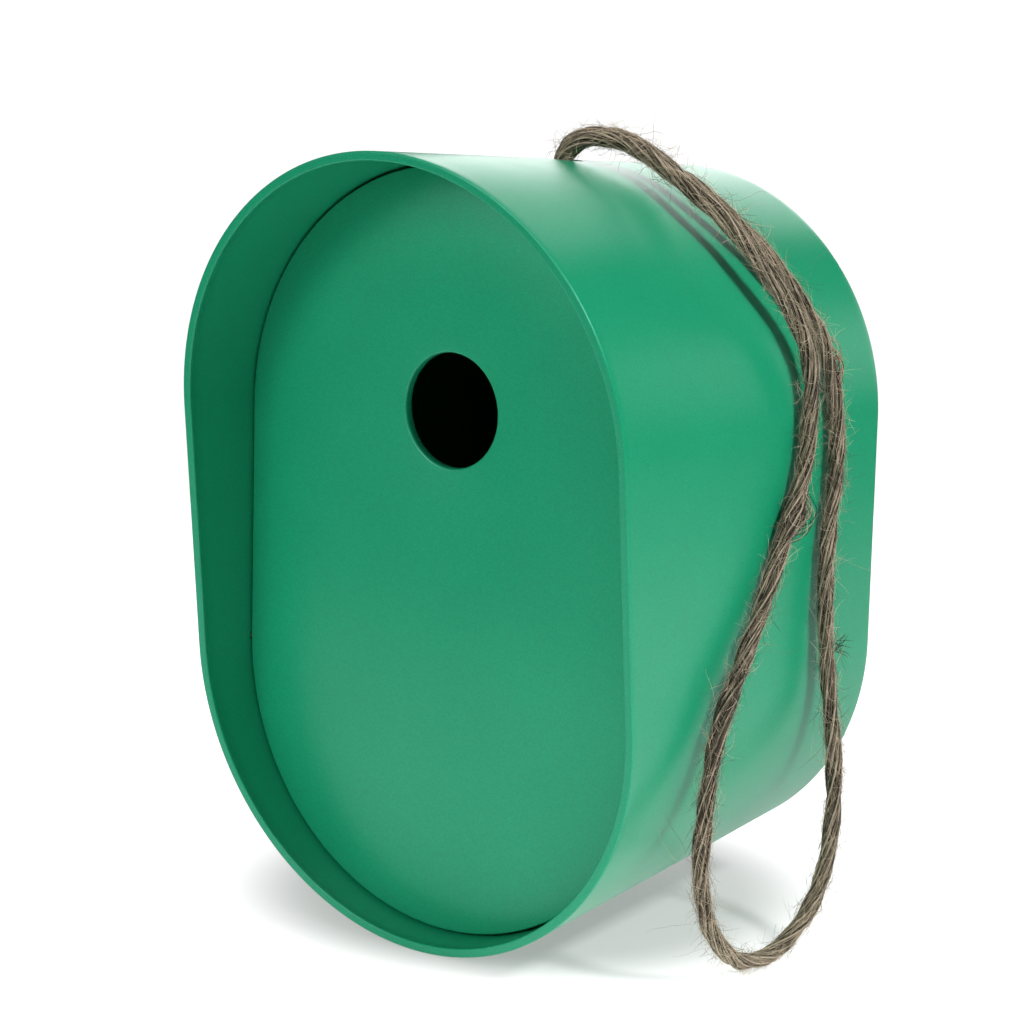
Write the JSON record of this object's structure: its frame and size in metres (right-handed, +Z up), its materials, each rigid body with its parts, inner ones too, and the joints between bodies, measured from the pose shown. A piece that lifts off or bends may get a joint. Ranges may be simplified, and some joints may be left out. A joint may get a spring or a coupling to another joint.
{
  "type": "nest box",
  "caption": "Hanging nest box of green plastic: a tapered pill-shaped tub, an inset front panel with a round entrance that tilts open for cleaning, and a jute rope loop.",
  "frame": {"origin": "centre of the flat outside of the back wall, where the box rests against a wall or trunk", "axes": "+Y out of the back wall towards what it hangs on, -Y out of the entrance, +Z up, +X to the right of someone who looks at the entrance"},
  "size_m": [0.1609, 0.1438, 0.2273],
  "materials": {
    "green_plastic": "satin, very finely textured",
    "catch_plastic": "satin",
    "stainless_steel": "plain",
    "nylon": "plain",
    "jute": "twisted, hairy natural cord"
  },
  "bodies": {
    "tub": {"shell": "green_plastic", "rope_washer": "stainless_steel", "rope": "jute", "rope_knot": "jute", "rope_tail_left": "jute", "rope_tail_right": "jute"},
    "door": {"front_panel": "green_plastic", "pivot_pin_left": "stainless_steel", "pivot_pin_right": "stainless_steel", "latch_washer": "nylon", "latch_screw": "stainless_steel"},
    "catch": {"latch_toggle": "catch_plastic"}
  },
  "joints": [
    {"name": "door_tilt", "type": "hinge", "parent": "tub", "child": "door", "pos_m": [0, -0.1107, -0.03516], "axis": [1, 0, 0], "range_deg": [0, 90]},
    {"name": "catch_turn", "type": "hinge", "parent": "door", "child": "catch", "pos_m": [0, -0.1045, 0.0835], "axis": [0, -1, 0], "range_deg": [0, 90]}
  ]
}
